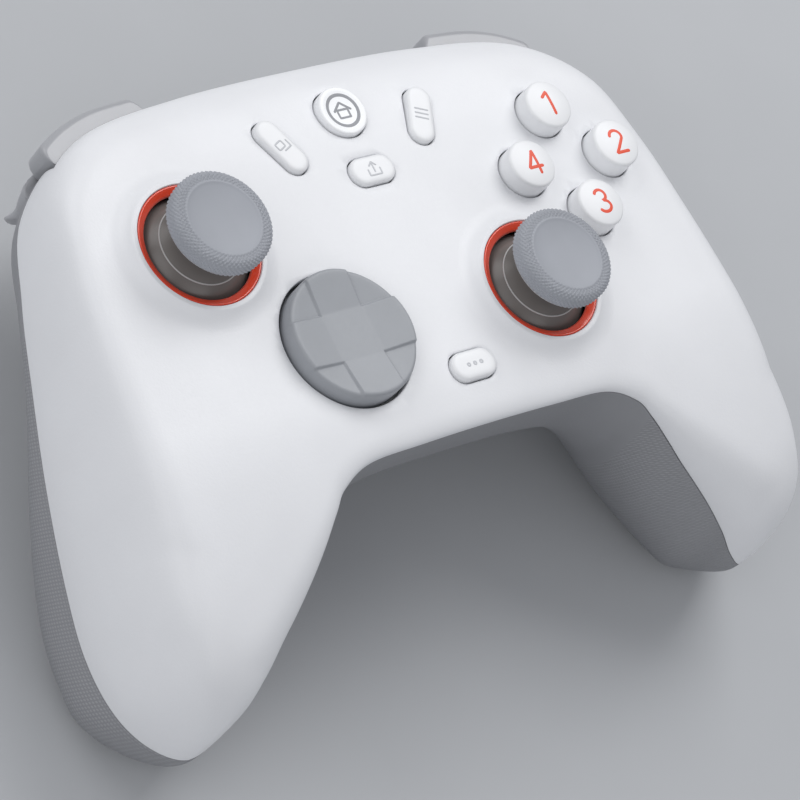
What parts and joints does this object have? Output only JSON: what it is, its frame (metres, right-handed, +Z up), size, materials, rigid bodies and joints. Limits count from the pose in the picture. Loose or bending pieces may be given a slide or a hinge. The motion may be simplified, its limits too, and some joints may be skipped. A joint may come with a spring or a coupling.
{
  "type": "game controller",
  "caption": "Two-handed game controller with offset thumbsticks, cross pad, face buttons, bumpers and analogue triggers in a moulded two-part housing.",
  "frame": {"origin": "middle of the bounding box at its base, on the surface that the grips rest on", "axes": "+X to the player's right, +Y away from the player towards the bumpers, +Z up out of the face"},
  "size_m": [0.1592, 0.1098, 0.057],
  "materials": {
    "white_plastic": "fine satin texture",
    "grey_plastic": "fine moulded grain",
    "light_plastic": "satin",
    "grey_rubber": "soft matt",
    "orange_plastic": "polished",
    "dark_plastic": "satin",
    "dark_rubber": "matt",
    "steel": "plain",
    "board_green": "solder mask",
    "battery_wrap": "film wrap"
  },
  "bodies": {
    "housing": {"front_shell": "white_plastic", "back_shell": "grey_plastic", "bumper_switches": "dark_plastic", "left_trigger_pin": "steel", "right_trigger_pin": "steel", "left_trigger_spring": "steel", "right_trigger_spring": "steel", "left_stick_housing": "steel", "right_stick_housing": "steel", "left_stick_ring": "orange_plastic", "right_stick_ring": "orange_plastic", "dpad_membrane": "dark_rubber", "face_dome_north": "dark_rubber", "face_dome_east": "dark_rubber", "face_dome_south": "dark_rubber", "face_dome_west": "dark_rubber", "tact_switches": "dark_plastic", "main_board": "board_green", "battery": "battery_wrap", "usb_receptacle": "steel", "left_rumble_motor": "steel", "right_rumble_motor": "steel", "shell_screws": "steel", "board_screws": "steel"},
    "left_stick_yoke": {"left_stick_yoke": "dark_plastic"},
    "left_stick_hub": {"left_stick_hub": "dark_plastic"},
    "left_stick": {"left_stick_cap": "grey_rubber", "left_stick_lever": "steel"},
    "right_stick_yoke": {"right_stick_yoke": "dark_plastic"},
    "right_stick_hub": {"right_stick_hub": "dark_plastic"},
    "right_stick": {"right_stick_cap": "grey_rubber", "right_stick_lever": "steel"},
    "dpad_ball": {"dpad_ball": "steel"},
    "dpad": {"dpad": "grey_rubber"},
    "face_button_north": {"face_button_north": "white_plastic"},
    "face_button_east": {"face_button_east": "white_plastic"},
    "face_button_south": {"face_button_south": "white_plastic"},
    "face_button_west": {"face_button_west": "white_plastic"},
    "view_button": {"view_button": "white_plastic"},
    "menu_button": {"menu_button": "white_plastic"},
    "share_button": {"share_button": "white_plastic"},
    "mode_button": {"mode_button": "white_plastic"},
    "home_button": {"home_button": "white_plastic"},
    "left_bumper": {"left_bumper": "light_plastic"},
    "left_trigger": {"left_trigger": "light_plastic"},
    "left_rumble_weight": {"left_rumble_weight": "steel"},
    "right_bumper": {"right_bumper": "light_plastic"},
    "right_trigger": {"right_trigger": "light_plastic"},
    "right_rumble_weight": {"right_rumble_weight": "steel"}
  },
  "joints": [
    {"name": "left_stick_tilt_y", "type": "hinge", "parent": "housing", "child": "left_stick_yoke", "pos_m": [-0.0415, 0.01914, 0.038], "axis": [1, 0, 0], "range_deg": [-15, 15], "stiffness_Nm_per_rad": 0.03},
    {"name": "left_stick_tilt_x", "type": "hinge", "parent": "left_stick_yoke", "child": "left_stick_hub", "pos_m": [-0.0415, 0.01914, 0.038], "axis": [0, 1, 0], "range_deg": [-15, 15], "stiffness_Nm_per_rad": 0.03},
    {"name": "left_stick_press", "type": "slide", "parent": "left_stick_hub", "child": "left_stick", "axis": [0, 0, -1], "range_m": [0, 0.0005], "stiffness_N_per_m": 600, "springref_m": -0.0008},
    {"name": "right_stick_tilt_y", "type": "hinge", "parent": "housing", "child": "right_stick_yoke", "pos_m": [0.022, -0.00226, 0.038], "axis": [1, 0, 0], "range_deg": [-15, 15], "stiffness_Nm_per_rad": 0.03},
    {"name": "right_stick_tilt_x", "type": "hinge", "parent": "right_stick_yoke", "child": "right_stick_hub", "pos_m": [0.022, -0.00226, 0.038], "axis": [0, 1, 0], "range_deg": [-15, 15], "stiffness_Nm_per_rad": 0.03},
    {"name": "right_stick_press", "type": "slide", "parent": "right_stick_hub", "child": "right_stick", "axis": [0, 0, -1], "range_m": [0, 0.0005], "stiffness_N_per_m": 600, "springref_m": -0.0008},
    {"name": "dpad_rock_y", "type": "hinge", "parent": "housing", "child": "dpad_ball", "pos_m": [-0.022, -0.00326, 0.0435], "axis": [1, 0, 0], "range_deg": [-4, 4], "stiffness_Nm_per_rad": 0.02},
    {"name": "dpad_rock_x", "type": "hinge", "parent": "dpad_ball", "child": "dpad", "pos_m": [-0.022, -0.00326, 0.0435], "axis": [0, 1, 0], "range_deg": [-4, 4], "stiffness_Nm_per_rad": 0.02},
    {"name": "face_button_north_press", "type": "slide", "parent": "housing", "child": "face_button_north", "axis": [0, 0, -1], "range_m": [0, 0.0012], "stiffness_N_per_m": 250, "springref_m": -0.0012, "deforming": ["face_dome_north"]},
    {"name": "face_button_east_press", "type": "slide", "parent": "housing", "child": "face_button_east", "axis": [0, 0, -1], "range_m": [0, 0.0012], "stiffness_N_per_m": 250, "springref_m": -0.0012, "deforming": ["face_dome_east"]},
    {"name": "face_button_south_press", "type": "slide", "parent": "housing", "child": "face_button_south", "axis": [0, 0, -1], "range_m": [0, 0.0012], "stiffness_N_per_m": 250, "springref_m": -0.0012, "deforming": ["face_dome_south"]},
    {"name": "face_button_west_press", "type": "slide", "parent": "housing", "child": "face_button_west", "axis": [0, 0, -1], "range_m": [0, 0.0012], "stiffness_N_per_m": 250, "springref_m": -0.0012, "deforming": ["face_dome_west"]},
    {"name": "view_button_press", "type": "slide", "parent": "housing", "child": "view_button", "axis": [0, 0, -1], "range_m": [0, 0.0004], "stiffness_N_per_m": 250, "springref_m": -0.0012},
    {"name": "menu_button_press", "type": "slide", "parent": "housing", "child": "menu_button", "axis": [0, 0, -1], "range_m": [0, 0.0004], "stiffness_N_per_m": 250, "springref_m": -0.0012},
    {"name": "share_button_press", "type": "slide", "parent": "housing", "child": "share_button", "axis": [0, 0, -1], "range_m": [0, 0.0004], "stiffness_N_per_m": 250, "springref_m": -0.0012},
    {"name": "mode_button_press", "type": "slide", "parent": "housing", "child": "mode_button", "axis": [0, 0, -1], "range_m": [0, 0.0004], "stiffness_N_per_m": 250, "springref_m": -0.0012},
    {"name": "home_button_press", "type": "slide", "parent": "housing", "child": "home_button", "axis": [0, 0, -1], "range_m": [0, 0.0004], "stiffness_N_per_m": 250, "springref_m": -0.0012},
    {"name": "left_bumper_press", "type": "hinge", "parent": "housing", "child": "left_bumper", "pos_m": [-0.024, 0.04544, 0.0338], "axis": [0, 0, 1], "range_deg": [0, 2.5], "stiffness_Nm_per_rad": 0.1, "springref_deg": -5.73},
    {"name": "left_trigger_pull", "type": "hinge", "parent": "housing", "child": "left_trigger", "pos_m": [-0.0437, 0.03944, 0.026], "axis": [-0.9063, -0.4226, 0], "range_deg": [0, 18], "stiffness_Nm_per_rad": 0.05, "springref_deg": -11.46},
    {"name": "left_rumble_spin", "type": "hinge", "parent": "housing", "child": "left_rumble_weight", "pos_m": [-0.056, -0.02846, 0.021], "axis": [0, 1, 0], "continuous": true},
    {"name": "right_bumper_press", "type": "hinge", "parent": "housing", "child": "right_bumper", "pos_m": [0.024, 0.04544, 0.0338], "axis": [0, 0, -1], "range_deg": [0, 2.5], "stiffness_Nm_per_rad": 0.1, "springref_deg": -5.73},
    {"name": "right_trigger_pull", "type": "hinge", "parent": "housing", "child": "right_trigger", "pos_m": [0.0437, 0.03944, 0.026], "axis": [-0.9063, 0.4226, 0], "range_deg": [0, 18], "stiffness_Nm_per_rad": 0.05, "springref_deg": -11.46},
    {"name": "right_rumble_spin", "type": "hinge", "parent": "housing", "child": "right_rumble_weight", "pos_m": [0.056, -0.02846, 0.021], "axis": [0, 1, 0], "continuous": true}
  ]
}
